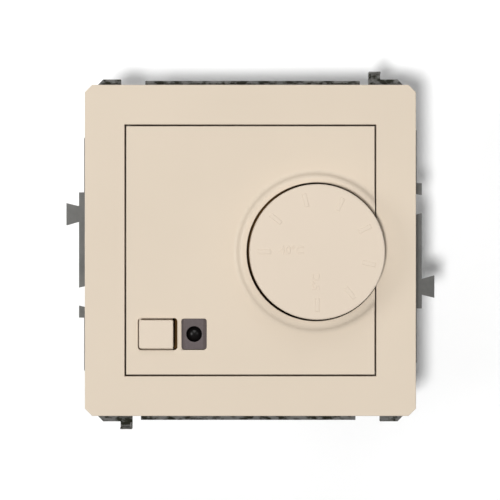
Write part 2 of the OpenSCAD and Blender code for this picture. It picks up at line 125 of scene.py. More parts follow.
def zinc_plate(name, light, dark, painted_reflections):
    """Zinc plating: cloudy grey with a fine spangle, and where asked painted dark, blotchy reflections
    in bands near the top and bottom.
    """
    material, tree, shader = new_material(name)
    clouds = noise(tree, 3.0, 4.0)
    base = blend_colours(tree, spread(tree, clouds, 0, 1), dark, light)
    if painted_reflections:
        # Painted reflections: dark blotches in bands near the top and bottom edges.
        split = tree.nodes.new("ShaderNodeSeparateXYZ")
        tree.links.new(place_on(tree), split.inputs["Vector"])
        away = tree.nodes.new("ShaderNodeMath")
        away.operation = "ABSOLUTE"
        tree.links.new(split.outputs["Z"], away.inputs[0])
        rim = spread(tree, away.outputs[0], 0, 1, strap_reflection_from, strap_reflection_from + strap_reflection_over)
        reflection_blotch = spread(tree, noise(tree, 0.9, 5.0, (1.8, 1, 1)), 0, 1, 0.42, 0.58)
        both = tree.nodes.new("ShaderNodeMath")
        both.operation = "MULTIPLY"
        tree.links.new(rim, both.inputs[0])
        tree.links.new(reflection_blotch, both.inputs[1])
        base = blend_colours(tree, both.outputs[0], base, reflection_dark)
    tree.links.new(base, shader.inputs["Base Color"])
    shader.inputs["Metallic"].default_value = 0.55
    tree.links.new(spread(tree, noise(tree, 0.8), 0.42, 0.6), shader.inputs["Roughness"])
    relief(tree, shader, noise(tree, 0.25, 2.0), 0.01, 0.5)
    return material


def merged_copy(node):
    """The shape of a CAD node, with its loose triangles joined into whole flat faces."""
    bm = bmesh.new()
    bm.from_mesh(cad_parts[node].data)
    bmesh.ops.remove_doubles(bm, verts=bm.verts, dist=weld)
    bmesh.ops.dissolve_limit(bm, angle_limit=nearly_flat, verts=bm.verts, edges=bm.edges)
    return bm


def sharp_edges(bm, wanted=lambda middle: True, degrees=40):
    """The edges between faces that meet at more than an angle, where their middle is wanted."""
    limit = math.radians(degrees)
    found = [e for e in bm.edges if e.is_manifold and e.calc_face_angle(0) > limit]
    return [e for e in found if wanted((e.verts[0].co + e.verts[1].co) / 2)]


def ease(bm, edges, width, segments=3):
    """Rounds edges off, as a mould or a press does."""
    bmesh.ops.bevel(
        bm, geom=edges, offset=width, offset_type="OFFSET", affect="EDGES", segments=segments,
        profile=0.5, material=-1, clamp_overlap=False,
    )


def add_piece(bm, name, body, material, replaced=()):
    """Makes a bmesh a piece that rides on a body, with flat faces shaded flat."""
    mesh = bpy.data.meshes.new(name)
    bm.normal_update()
    bm.to_mesh(mesh)
    bm.free()
    mesh.materials.append(material)
    mesh.shade_smooth()
    mesh.set_sharp_from_angle(angle=crease)
    piece = bpy.data.objects.new(name, mesh)
    bpy.context.scene.collection.objects.link(piece)
    weighted = piece.modifiers.new("even_shading", "WEIGHTED_NORMAL")
    weighted.keep_sharp = True
    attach(piece, body)
    if replaced:
        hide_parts(*replaced)
    return piece


# The strap's plating carries painted dark reflections near its top and bottom edges.
strap_zinc = zinc_plate("strap_zinc", (0.265, 0.265, 0.256), (0.215, 0.218, 0.212), True)
strap = merged_copy("mounting_strap")
ease(strap, sharp_edges(strap), strap_edge, 2)
add_piece(strap, "steel_strap", "base", strap_zinc, ["mounting_strap"])

# ---- Rear housing ---------------------------------------------------------------------------
# A cup moulded from light grey polycarbonate that enters the wall box, with a flange on the
# strap, air slits on top, wire entries in the back and screwdriver wells in the bottom.

cup_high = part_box("rear_housing")[1]
cup_edge = 0.3 * MM
cup_wall_y = 3 * MM
cup_wall_reach = 18 * MM
rim_outer = Vector((26, 17)) * MM
rim_width = 0.7 * MM
rim_height = 0.12 * MM
rim_corners = (1.6 * MM, 0.9 * MM)
rim_ease = 0.05 * MM
rim_z = 9 * MM


def moulded_plastic(name, colour, rough=(0.36, 0.46), grain=0.16, depth=0.006, cloud=0.03):
    """Moulded plastic: an even colour with faint flow clouds and a fine eroded texture."""
    material, tree, shader = new_material(name)
    lighter = [min(1, c * (1 + cloud)) for c in colour]
    darker = [c * (1 - cloud) for c in colour]
    clouds = spread(tree, noise(tree, 22.0, 2.0), 0, 1)
    tree.links.new(blend_colours(tree, clouds, darker, lighter), shader.inputs["Base Color"])
    tree.links.new(spread(tree, noise(tree, 1.6), *rough), shader.inputs["Roughness"])
    shader.inputs["Specular IOR Level"].default_value = 0.45
    relief(tree, shader, noise(tree, grain, 2.0), depth, 0.6)
    return material


def sheet(bm, edges):
    """Fills the area between an outline and the holes in it."""
    filled = bmesh.ops.triangle_fill(bm, edges=edges, use_beauty=True)
    return [g for g in filled["geom"] if isinstance(g, bmesh.types.BMFace)]


def corner_outline(bm, points, y):
    """A closed outline through the points [x, z] in the plane y."""
    verts = [bm.verts.new((x, y, z)) for x, z in points]
    return [bm.edges.new((verts[i - 1], verts[i])) for i in range(len(verts))]


def box_points(x, z, width, height):
    """The corners of an upright rectangle about a centre."""
    signs = ((-1, -1), (1, -1), (1, 1), (-1, 1))
    return [(x + sx * width / 2, z + sz * height / 2) for sx, sz in signs]


def raise_faces(bm, faces, forward):
    """Extrudes flat faces forwards, or backwards where forward is negative; returns the new ones."""
    moved = bmesh.ops.extrude_face_region(bm, geom=faces, use_keep_orig=True)["geom"]
    verts = [g for g in moved if isinstance(g, bmesh.types.BMVert)]
    bmesh.ops.translate(bm, verts=verts, vec=(0, -forward, 0))
    bmesh.ops.recalc_face_normals(bm, faces=bm.faces)
    return [g for g in moved if isinstance(g, bmesh.types.BMFace)]


def round_upright(bm, points, radius, segments=6):
    """Rounds the edges that run front to back through the given points [x, z]."""
    near = 0.02 * MM
    edges = []
    for edge in bm.edges:
        a, b = (v.co for v in edge.verts)
        if math.hypot(a.x - b.x, a.z - b.z) < near:
            if any(math.hypot(a.x - x, a.z - z) < near for x, z in points):
                edges.append(edge)
    ease(bm, edges, radius, segments)


housing_white = moulded_plastic("housing_white", (0.80, 0.80, 0.77), (0.42, 0.55), 0.3, 0.012)
cup = merged_copy("rear_housing")
cup_rims = sharp_edges(cup, lambda at: at.y > cup_wall_y and at.length > cup_wall_reach)
ease(cup, cup_rims, cup_edge)
add_piece(cup, "housing_cup", "base", housing_white, ["rear_housing"])

rim = bmesh.new()
rim_outside = box_points(0, rim_z, *rim_outer)
rim_inside = box_points(0, rim_z, rim_outer.x - 2 * rim_width, rim_outer.y - 2 * rim_width)
rim_edges = corner_outline(rim, rim_outside, cup_high.y - rim_width)
rim_edges += corner_outline(rim, rim_inside, cup_high.y - rim_width)
raise_faces(rim, sheet(rim, rim_edges), -rim_width - rim_height)
round_upright(rim, rim_outside, rim_corners[0])
round_upright(rim, rim_inside, rim_corners[1])
ease(rim, sharp_edges(rim, lambda at: at.y > cup_high.y), rim_ease, 2)
add_piece(rim, "housing_label_rim", "base", housing_white)

# ---- Terminal figures -----------------------------------------------------------------------
# Raised figures from 1 to 5 that the mould leaves above the wire entries, so that the wires can
# be told apart. They are part of the same moulding as the housing.

figure_z = -9.6 * MM
figure_size = 2.6 * MM
figure_relief = 0.24 * MM
ways = range(1, 6)
way_boxes = [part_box(f"terminal_screw_{i}") for i in ways]
way_x = [(low.x + high.x) / 2 for low, high in way_boxes]


def raised_text(words, size, height, name):
    """A bmesh of words lying in the X-Y plane, centred, and raised along +Z."""
    curve = bpy.data.curves.new(name, "FONT")
    curve.body = words
    curve.size = size
    curve.extrude = height / 2
    curve.bevel_depth = height / 5
    curve.bevel_resolution = 1
    curve.resolution_u = 6
    curve.align_x = "CENTER"
    curve.align_y = "CENTER"
    holder = bpy.data.objects.new(name, curve)
    bpy.context.scene.collection.objects.link(holder)
    bpy.context.view_layer.update()
    shaped = holder.evaluated_get(bpy.context.evaluated_depsgraph_get())
    mesh = bpy.data.meshes.new_from_object(shaped)
    bm = bmesh.new()
    bm.from_mesh(mesh)
    bpy.data.objects.remove(holder)
    bpy.data.curves.remove(curve)
    bpy.data.meshes.remove(mesh)
    bmesh.ops.remove_doubles(bm, verts=bm.verts, dist=2 * weld)
    return bm


facing_back = Matrix.Rotation(math.pi, 4, "Z") @ Matrix.Rotation(math.pi / 2, 4, "X")
for number, x in enumerate(way_x, 1):
    name = f"terminal_figure_{number}"
    figure = raised_text(str(number), figure_size, figure_relief, name)
    spot = Matrix.Translation((x, cup_high.y, figure_z)) @ facing_back
    bmesh.ops.transform(figure, matrix=spot, verts=figure.verts)
    add_piece(figure, name, "base", housing_white)

# ---- Terminals ------------------------------------------------------------------------------
# Grey glass-filled block with five cage clamps of plated brass. A screw pulls each cage down
# towards its head and so presses the wire onto a tinned contact. Heads sit in the housing's wells.

block_edge = 0.08 * MM
contact_edge = 0.06 * MM
screw_edge = 0.06 * MM
cage_edge = 0.08 * MM


def plain_metal(name, light, dark, rough=(0.22, 0.38), grain=0.6):
    """Bright turned or stamped metal with faint tool marks."""
    material, tree, shader = new_material(name)
    clouds = spread(tree, noise(tree, grain * 3, 4.0), 0, 1)
    tree.links.new(blend_colours(tree, clouds, dark, light), shader.inputs["Base Color"])
    shader.inputs["Metallic"].default_value = 1.0
    tree.links.new(spread(tree, noise(tree, grain), *rough), shader.inputs["Roughness"])
    relief(tree, shader, noise(tree, grain / 3, 2.0, (1, 1, 4)), 0.006, 0.4)
    return material


screw_zinc = zinc_plate("screw_zinc", (0.60, 0.61, 0.62), (0.48, 0.49, 0.50), False)
clamp_brass = plain_metal("clamp_brass", (0.82, 0.66, 0.33), (0.70, 0.54, 0.25))
contact_tin = plain_metal("contact_tin", (0.80, 0.80, 0.78), (0.66, 0.66, 0.65))
block_grey = moulded_plastic("block_grey", (0.26, 0.28, 0.30), (0.5, 0.62), 0.25, 0.015)


def eased_node(node, name, body, material, width):
    """Replaces a CAD node by a copy of it with its sharp edges eased."""
    bm = merged_copy(node)
    ease(bm, sharp_edges(bm), width, 2)
    return add_piece(bm, name, body, material, [node])


eased_node("terminal_block", "clamp_block", "base", block_grey, block_edge)
eased_node("terminal_contacts", "contact_bars", "base", contact_tin, contact_edge)
for i in ways:
    screw, clamp = f"screw_{i}", f"clamp_{i}"
    eased_node(f"terminal_{screw}", f"clamp_{screw}", screw, screw_zinc, screw_edge)
    eased_node(f"terminal_{clamp}", f"wire_{clamp}", clamp, clamp_brass, cage_edge)

# ---- Power board ----------------------------------------------------------------------------
# Green laminate in the cup with the relay, the capacitor dropper, the varistor, the fuse and the
# resistors, all on its rear side, and the header that joins it to the control board.


def laminate(name, colour):
    """Solder-masked laminate: glossy green over a faint glass weave, with traces under it."""
    material, tree, shader = new_material(name)
    lighter = [c * 1.35 for c in colour]
    wave = tree.nodes.new("ShaderNodeTexVoronoi")
    wave.distance = "CHEBYCHEV"
    wave.inputs["Scale"].default_value = 1 / (3.2 * MM)
    tree.links.new(place_on(tree), wave.inputs["Vector"])
    traces = spread(tree, wave.outputs["Distance"], 0, 1, 0.38, 0.42)
    tree.links.new(blend_colours(tree, traces, colour, lighter), shader.inputs["Base Color"])
    tree.links.new(spread(tree, noise(tree, 2.0), 0.25, 0.35), shader.inputs["Roughness"])
    relief(tree, shader, traces, 0.03, 0.6)
    return material


board_green = laminate("board_green", (0.015, 0.12, 0.05))
socket_black = moulded_plastic("socket_black", (0.02, 0.02, 0.022), (0.4, 0.5))
pin_gold = plain_metal("pin_gold", (0.94, 0.74, 0.36), (0.84, 0.62, 0.28))
relay_blue = moulded_plastic("relay_blue", (0.03, 0.11, 0.36), (0.28, 0.36))
film_yellow = moulded_plastic("film_yellow", (0.62, 0.46, 0.06), (0.3, 0.4))
can_sleeve = moulded_plastic("can_sleeve", (0.018, 0.022, 0.035), (0.22, 0.3))
varistor_blue = moulded_plastic("varistor_blue", (0.03, 0.16, 0.42), (0.3, 0.42), 0.4, 0.02)
ceramic_cream = moulded_plastic("ceramic_cream", (0.62, 0.55, 0.36), (0.35, 0.5), 0.2, 0.02)

# CAD node, piece, material, slot, and the width in millimetres of its rounded edges
power_parts = [
    ("power_board", "power_laminate", board_green, "board_laminate", 0.1),
    ("header_base", "header_shroud", socket_black, "black_plastic", 0.1),
    ("header_pins", "header_contacts", pin_gold, "brass", 0.08),
    ("relay", "power_relay", relay_blue, "relay_case", 0.35),
    ("film_capacitor", "dropper_capacitor", film_yellow, "capacitor_case", 0.5),
    ("smoothing_capacitor", "can_capacitor", can_sleeve, "can_sleeve", 0.12),
    ("varistor", "surge_varistor", varistor_blue, "varistor_coat", 0.15),
    ("fuse", "ceramic_fuse", ceramic_cream, "ceramic_body", 0.1),
    ("resistors", "film_resistors", ceramic_cream, "ceramic_body", 0.1),
]
for node, name, material, slot, width in power_parts:
    eased_node(node, name, "base", material, width * MM)

# ---- Control board, switch and potentiometer -------------------------------------------------
# The front board lies on the housing's flange and carries the microcontroller, the indicator's
# leads, the header socket, the push switch with its spring and the dial's potentiometer.

pot_blue = moulded_plastic("pot_blue", (0.06, 0.14, 0.24), (0.32, 0.42))
shaft_ivory = moulded_plastic("shaft_ivory", (0.70, 0.67, 0.58), (0.35, 0.45))
spring_bright = plain_metal("spring_bright", (0.72, 0.72, 0.74), (0.6, 0.6, 0.62))

# CAD node, piece, body, material, slot, and the width in millimetres of its rounded edges
control_parts = [
    ("control_board", "control_laminate", "base", board_green, "board_laminate", 0.1),
    ("microcontroller", "controller_chip", "base", socket_black, "black_plastic", 0.08),
    ("header_socket", "board_socket", "base", socket_black, "black_plastic", 0.1),
    ("led_leads", "indicator_leads", "base", contact_tin, "tinned_copper", 0.05),
    ("potentiometer_body", "pot_case", "base", pot_blue, "pot_case", 0.12),
    ("potentiometer_track", "pot_track", "base", socket_black, "black_plastic", 0.08),
    ("potentiometer_shaft", "pot_shaft", "dial", shaft_ivory, "shaft_plastic", 0.1),
    ("potentiometer_wiper", "pot_wiper", "dial", clamp_brass, "brass", 0.06),
    ("switch_body", "switch_case", "base", socket_black, "black_plastic", 0.1),
    ("switch_plunger", "switch_stem", "button", shaft_ivory, "shaft_plastic", 0.1),
]
for node, name, body, material, slot, width in control_parts:
    eased_node(node, name, body, material, width * MM)

spring = merged_copy("switch_spring")
coil = add_piece(spring, "switch_coil", "base", spring_bright, ["switch_spring"])
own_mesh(coil)

# ---- Guard and fasteners --------------------------------------------------------------------
# Near-black brown moulding that covers the live board and carries the centre cover, held by two screws
# from the front. A thin tongue closes its button opening beside the arm. Four more screws fasten
# the housing's flange to the strap. The moulding's dark brown is partly painted shade: it stands
# for the deep, warm shade in the gaps round the dial and the button where it shows.

guard_edge = 0.15 * MM
tongue_x, tongue_w = -14.6 * MM, 1.9 * MM
tongue_z, tongue_h = -17.0 * MM, 8.6 * MM
tongue_back_y, tongue_thick = -6.6 * MM, 0.5 * MM
tongue_edge = 0.1 * MM
touch = 0.01 * MM


def raised_block(bm, points, back_y, forward):
    """A block with the corners [x, z], raised forwards from the plane back_y."""
    raise_faces(bm, sheet(bm, corner_outline(bm, points, back_y)), forward)


# Dark brown, partly painted shade for the gaps that show this moulding.
guard_shade_brown = moulded_plastic("guard_shade_brown", (0.078, 0.040, 0.012), (0.5, 0.6), 0.3, 0.012)
eased_node("front_guard", "board_guard", "base", guard_shade_brown, guard_edge)
tongue = bmesh.new()
raised_block(tongue, box_points(tongue_x, tongue_z, tongue_w, tongue_h), tongue_back_y, tongue_thick)
ease(tongue, sharp_edges(tongue, lambda at: at.y < tongue_back_y - touch), tongue_edge)
add_piece(tongue, "guard_tongue", "base", guard_shade_brown)
for screws in ("guard", "housing"):
    eased_node(f"{screws}_screws", f"{screws}_fasteners", "base", screw_zinc, screw_edge)

# ---- Front frame ----------------------------------------------------------------------------
# Square frame of beige thermoplastic with cut corners. It snaps into the strap by four legs and
# the decorative outer frame slips over it. Its front edges are only just rounded, and those of
# the opening least.

frame_low, frame_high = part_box("cover_frame")
frame_edge = 0.2 * MM
opening_edge = 0.12 * MM
rim_line = frame_high.x - 2.5 * MM
front_line = frame_low.y + 0.1 * MM


def on_frame_front(at, outer):
    """Front edges of the frame: those of its outline where outer is true, else its opening's."""
    near_outline = max(abs(at.x), abs(at.z)) > rim_line
    return at.y < front_line and near_outline == outer


cover_beige = moulded_plastic("cover_beige", (0.656, 0.564, 0.455), (0.34, 0.42), 0.14, 0.004, 0.012)
shell = merged_copy("cover_frame")
ease(shell, sharp_edges(shell, lambda at: on_frame_front(at, False)), opening_edge)
ease(shell, sharp_edges(shell, lambda at: on_frame_front(at, True)), frame_edge, 4)
add_piece(shell, "front_frame", "base", cover_beige, ["cover_frame"])

# ---- Centre cover ---------------------------------------------------------------------------
# Beige plate that snaps over the guard. A low collar rises round the dial's well, and both run out
# at its right edge. It has openings for button and indicator, and a fine line points at the dial.

cover_low, cover_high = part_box("centre_cover")
dial_low, dial_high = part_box("dial_knob")
button_low, button_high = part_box("power_button")
bezel_low, bezel_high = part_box("indicator_bezel")
face_y = frame_low.y
plate_back_y = face_y + 2 * MM
plate_edge = 0.1 * MM
dial_x = (dial_low.x + dial_high.x) / 2
dial_z = (dial_low.z + dial_high.z) / 2
dial_r = (dial_high.x - dial_low.x) / 2
cover_w = cover_high.x - cover_low.x
skirt_wall = 1.2 * MM
skirt_edge = 0.2 * MM
button_hole = (-18.79 * MM, -16.95 * MM, 8.0 * MM, 6.5 * MM)
button_hole_corner = 0.7 * MM
bezel_hole = (-11.4 * MM, -16.95 * MM, 5.08 * MM, 6.24 * MM)
bezel_corner = 0.5 * MM
pointer = (-10.15 * MM, dial_z, 6.5 * MM, 0.42 * MM)
pointer_depth = 0.06 * MM
pointer_near = 0.1 * MM
pointer_clear = (4 * MM, 1 * MM)
well_x = dial_x - 0.12 * MM
well_r = dial_r + 0.38 * MM
collar_width = 2.85 * MM
collar_slope = 2.2 * MM
collar_height = face_y - cover_low.y
collar_overlap = 0.3 * MM
collar_edge = 0.12 * MM
collar_sunk = 0.4 * MM
collar_taper = 0.6 * MM
collar_cut_back = 0.002 * MM


def front_profile(bm, points):
    """A profile through the points [radius, forward], as edges to be spun about the Y axis."""
    verts = [bm.verts.new((r, -forward, 0)) for r, forward in points]
    return verts, [bm.edges.new(pair) for pair in zip(verts, verts[1:])]


def spin_round(bm, verts, edges, x, z, segments):
    """Spins a profile once round the Y axis and moves it to its centre."""
    bmesh.ops.spin(
        bm, geom=verts + edges, cent=(0, 0, 0), axis=(0, 1, 0), angle=2 * math.pi,
        steps=segments, use_merge=True,
    )
    bmesh.ops.remove_doubles(bm, verts=bm.verts, dist=weld)
    bmesh.ops.translate(bm, verts=bm.verts, vec=(x, 0, z))
    bmesh.ops.recalc_face_normals(bm, faces=bm.faces)


def arc(r, forward, radius, start, end, steps):
    """Points [radius, forward] along an arc, between two angles in degrees."""
    angles = [math.radians(start + (end - start) * i / steps) for i in range(steps + 1)]
    return [(r + radius * math.cos(a), forward + radius * math.sin(a)) for a in angles]


def on_plate_rim(at):
    """Front edges of the plate, but not those of the well or of the pointer line."""
    round_dial = math.hypot(at.x - well_x, at.z - dial_z) < well_r + collar_width
    beside = abs(at.x - pointer[0]) < pointer_clear[0]
    beside_pointer = beside and abs(at.z - pointer[1]) < pointer_clear[1]
    return at.y < face_y + touch and not round_dial and not beside_pointer


def is_groove(face):
    """Whether a face of the plate's front is the floor of the pointer line."""
    off_middle = abs(face.calc_center_median().x - pointer[0])
    return off_middle < pointer_near and len(face.verts) == 4


cut_r = well_r + collar_overlap
edge_angle = math.degrees(math.acos((cover_high.x - well_x) / cut_r))
corners = box_points(0, 0, cover_w, cover_w)
well_edge = arc(well_x, dial_z, cut_r, 360 - edge_angle, edge_angle, 120)
plate = bmesh.new()
groove_edges = corner_outline(plate, box_points(*pointer), plate_back_y)
plate_edges = corner_outline(plate, corners[:2] + well_edge + corners[2:], plate_back_y)
for hole in (button_hole, bezel_hole):
    plate_edges += corner_outline(plate, box_points(*hole), plate_back_y)
plate_edges += groove_edges
plate_faces = sheet(plate, plate_edges)
plate_faces += bmesh.ops.contextual_create(plate, geom=groove_edges)["faces"]
raised = raise_faces(plate, plate_faces, plate_back_y - face_y)
groove = [f for f in raised if is_groove(f)]
sunk = bmesh.ops.extrude_face_region(plate, geom=groove)["geom"]
sunk_verts = [g for g in sunk if isinstance(g, bmesh.types.BMVert)]
bmesh.ops.translate(plate, verts=sunk_verts, vec=(0, pointer_depth, 0))
bmesh.ops.delete(plate, geom=[f for f in groove if f.is_valid], context="FACES_ONLY")
round_upright(plate, box_points(*button_hole), button_hole_corner)
round_upright(plate, box_points(*bezel_hole), bezel_corner)
ease(plate, sharp_edges(plate, on_plate_rim), plate_edge)
add_piece(plate, "cover_plate", "base", cover_beige, ["centre_cover"])

skirt = bmesh.new()
skirt_edges = []
for width in (cover_w, cover_w - 2 * skirt_wall):
    skirt_edges += corner_outline(skirt, box_points(0, 0, width, width), cover_high.y)
raise_faces(skirt, sheet(skirt, skirt_edges), cover_high.y - plate_back_y)
ease(skirt, sharp_edges(skirt, lambda at: at.y > cover_high.y - touch), skirt_edge, 2)
add_piece(skirt, "cover_skirt", "base", cover_beige)

foot = well_r + collar_width
face_f = -face_y
top_f = face_f + collar_height
steepest = 2 * math.degrees(math.atan(collar_height / collar_slope))
bend_r = collar_slope / (2 * math.sin(math.radians(steepest)))
collar = bmesh.new()
collar_points = [(well_r, -plate_back_y), (well_r, top_f - collar_edge)]
collar_points += arc(well_r + collar_edge, top_f - collar_edge, collar_edge, 180, 90, 3)
collar_points += arc(foot - collar_slope, top_f - bend_r, bend_r, 90, 90 - steepest, 10)
collar_points += arc(foot, face_f + bend_r, bend_r, 270 - steepest, 270, 10)
collar_points += [(foot, face_f - collar_sunk), (foot - collar_taper, -plate_back_y), collar_points[0]]
spin_round(collar, *front_profile(collar, collar_points), well_x, dial_z, 144)
bmesh.ops.bisect_plane(
    collar, geom=collar.verts[:] + collar.edges[:] + collar.faces[:], dist=weld,
    plane_co=(cover_high.x - collar_cut_back, 0, 0), plane_no=(1, 0, 0), clear_outer=True,
)
bmesh.ops.holes_fill(collar, edges=[e for e in collar.edges if e.is_boundary], sides=0)
bmesh.ops.recalc_face_normals(collar, faces=collar.faces)
add_piece(collar, "cover_collar", "base", cover_beige)

# ---- Indicator ------------------------------------------------------------------------------
# A smoked window with sloping sides beside the button, and in its hole the domed tip of a dark
# tinted light-emitting diode.

bezel_x, bezel_z = bezel_hole[0], bezel_hole[1]
bezel_play = 0.1 * MM
bezel_w = bezel_hole[2] - bezel_play
bezel_h = bezel_hole[3] - bezel_play
window_half = 1.85 * MM
window_slope = 0.8
window_front = 0.3 * MM
window_edge = 0.06 * MM
lens_hole_r = 1.6 * MM
led_low, led_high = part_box("indicator_led")
led_r = 1.5 * MM
led_foot_r = 1.75 * MM
led_foot_h = 0.8 * MM


def circle_outline(bm, x, z, radius, y, segments):
    """A round outline in the plane y."""
    turn = Matrix.Translation((x, y, z)) @ Matrix.Rotation(math.pi / 2, 4, "X")
    made = bmesh.ops.create_circle(bm, cap_ends=False, radius=radius, segments=segments, matrix=turn)
    return list({e for v in made["verts"] for e in v.link_edges})


def smoked_plastic(name, colour, rough):
    """Smoked glossy plastic with fine dust-like specks in its depth."""
    material, tree, shader = new_material(name)
    specks = spread(tree, noise(tree, 0.35, 4.0), 0, 1)
    darker = [c * 0.88 for c in colour]
    tree.links.new(blend_colours(tree, specks, darker, colour), shader.inputs["Base Color"])
    tree.links.new(spread(tree, noise(tree, 1.2), rough, rough + 0.08), shader.inputs["Roughness"])
    shader.inputs["Coat Weight"].default_value = 0.2
    shader.inputs["Coat Roughness"].default_value = 0.1
    relief(tree, shader, noise(tree, 0.3, 2.0), 0.003, 0.4)
    return material


smoked = smoked_plastic("smoked_window", (0.130, 0.108, 0.108), 0.3)
lens_dark = smoked_plastic("lens_dark", (0.006, 0.005, 0.005), 0.28)

bezel = bmesh.new()
bezel_back_y = bezel_high.y


def with_lens_hole(points, front_y):
    """Raises a block of the window with the lens's hole in it, from its back to a depth."""
    edges = corner_outline(bezel, points, bezel_back_y)
    edges += circle_outline(bezel, bezel_x, bezel_z, lens_hole_r, bezel_back_y, 40)
    raise_faces(bezel, sheet(bezel, edges), bezel_back_y - front_y)


bezel_points = box_points(bezel_x, bezel_z, bezel_w, bezel_h)
with_lens_hole(bezel_points, bezel_low.y)
round_upright(bezel, bezel_points, bezel_corner)
for side in (-1, 1):
    bmesh.ops.bisect_plane(
        bezel, geom=bezel.verts[:] + bezel.edges[:] + bezel.faces[:], dist=weld,
        plane_co=(bezel_x + side * window_half, 0, 0), plane_no=(1, 0, 0),
    )
for vert in bezel.verts:
    beyond = abs(vert.co.x - bezel_x) - window_half
    if vert.co.y < bezel_low.y + touch and beyond > 0:
        vert.co.y += beyond * window_slope
ease(bezel, sharp_edges(bezel, lambda at: at.y < bezel_low.y + window_front, 60), window_edge, 2)
with_lens_hole(box_points(bezel_x, bezel_z, bezel_w, bezel_high.z - bezel_low.z), plate_back_y)
add_piece(bezel, "indicator_window", "base", smoked, ["indicator_bezel"])

lens = bmesh.new()
lens_front = -led_low.y
lens_back = -led_high.y
lens_points = [(0, lens_back), (led_foot_r, lens_back), (led_foot_r, lens_back + led_foot_h)]
lens_points += [(led_r, lens_back + led_foot_h)]
lens_points += arc(0, lens_front - led_r, led_r, 0, 90, 12)
lens_points[-1] = (0, lens_front)
spin_round(lens, *front_profile(lens, lens_points), bezel_x, bezel_z, 48)
add_piece(lens, "indicator_lens", "base", lens_dark, ["indicator_led"])

# ---- Power button ---------------------------------------------------------------------------
# Small rectangular cap with soft edges, moulded with a flange that keeps it behind the cover and
# an arm that pushes the switch.

button_x, button_z = -19.05 * MM, -16.95 * MM
button_w, button_h = 6.9 * MM, 5.75 * MM
button_corner = 0.4 * MM
button_edge = 0.22 * MM
flange_x, flange_w, flange_h = -19.5 * MM, 7.5 * MM, 7.3 * MM
arm_x, arm_z = -16.55 * MM, -16.6 * MM
arm_w, arm_h = 1.6 * MM, 2.2 * MM
flange_back_y = -7.1 * MM
flange_front_y = -7.9 * MM

dial_beige = moulded_plastic("dial_beige", (0.668, 0.573, 0.468), (0.4, 0.5), 0.12, 0.005, 0.01)
button = bmesh.new()
cap_points = box_points(button_x, button_z, button_w, button_h)
raised_block(button, cap_points, flange_front_y, flange_front_y - button_low.y)
round_upright(button, cap_points, button_corner)
ease(button, sharp_edges(button, lambda at: at.y < button_low.y + touch), button_edge, 4)
flange_points = box_points(flange_x, button_z, flange_w, flange_h)
raised_block(button, flange_points, flange_back_y, flange_back_y - flange_front_y)
arm_points = box_points(arm_x, arm_z, arm_w, arm_h)
raised_block(button, arm_points, button_high.y, button_high.y - flange_back_y)
add_piece(button, "button_cap", "button", dial_beige, ["power_button"])

# ---- Dial -----------------------------------------------------------------------------------
# Round beige knob pressed on the potentiometer's shaft: a thin cap with a rim, a hub with ribs,
# and raised marks and figures that the mould leaves on its face.

mark_h = 0.12 * MM
dial_f = -dial_low.y - mark_h
rim_back_f = -face_y + 0.5 * MM
hub_back_f = -dial_high.y
hub_r = 4.6 * MM
bore_r = 3.05 * MM
dial_wall = 1.5 * MM
dial_top = 1.6 * MM
draft = 0.08 * MM
edge_r = 0.35 * MM
rim_back_r = 0.15 * MM
mark_in = 9.2 * MM
mark_len = 2.7 * MM
mark_w = 0.85 * MM
mark_edge = 0.09 * MM
mark_count = 8
scale_span = math.radians(270)
rib_count = 4
rib_w = 1.0 * MM
rib_edge = 0.05 * MM
rib_back_f = rim_back_f + 1.0 * MM
figure_h = 0.09 * MM

knob = bmesh.new()
knob_points = [(0, dial_f)]
knob_points += arc(dial_r - draft - edge_r, dial_f - edge_r, edge_r, 90, 0, 7)
knob_points += arc(dial_r - rim_back_r, rim_back_f + rim_back_r, rim_back_r, 0, -90, 3)
knob_points += [(dial_r - dial_wall, rim_back_f), (dial_r - dial_wall, dial_f - dial_top)]
knob_points += [(hub_r, dial_f - dial_top), (hub_r, hub_back_f), (bore_r, hub_back_f)]
knob_points += [(bore_r, dial_f - dial_top), (0, dial_f - dial_top)]
spin_round(knob, *front_profile(knob, knob_points), dial_x, dial_z, 160)
add_piece(knob, "dial_cap", "dial", dial_beige, ["dial_knob"])


def bar(bm, length, forward, width, edge, matrix):
    """A bar from the origin along +X, raised forwards, with its front edges eased."""
    made = bmesh.ops.create_cube(bm, size=1)
    verts = made["verts"]
    bmesh.ops.translate(bm, verts=verts, vec=(0.5, -0.5, 0))
    bmesh.ops.scale(bm, verts=verts, vec=(length, forward, width))
    edges = {e for v in verts for e in v.link_edges}
    front = [e for e in edges if all(v.co.y < -forward * 0.9 for v in e.verts)]
    eased = bmesh.ops.bevel(
        bm, geom=front, offset=edge, offset_type="OFFSET", affect="EDGES", segments=2,
        profile=0.5, material=-1,
    )
    shaped = {v for v in verts if v.is_valid} | set(eased["verts"])
    bmesh.ops.transform(bm, matrix=matrix, verts=list(shaped))


at_dial = Matrix.Translation((dial_x, 0, dial_z))
marks = bmesh.new()
for i in range(mark_count):
    angle = math.pi + scale_span * i / (mark_count - 1)
    root_y = -dial_f + mark_h
    start = at_dial @ Matrix.Rotation(angle, 4, "Y") @ Matrix.Translation((mark_in, root_y, 0))
    bar(marks, mark_len, 2 * mark_h, mark_w, mark_edge, start)
add_piece(marks, "dial_marks", "dial", dial_beige)

ribs = bmesh.new()
for i in range(rib_count):
    start = at_dial @ Matrix.Rotation(2 * math.pi * (i + 0.5) / rib_count, 4, "Y")
    start = start @ Matrix.Translation((hub_r, -rib_back_f, 0))
    bar(ribs, dial_r - dial_wall - hub_r, dial_f - dial_top - rib_back_f, rib_w, rib_edge, start)
add_piece(ribs, "dial_ribs", "dial", dial_beige)

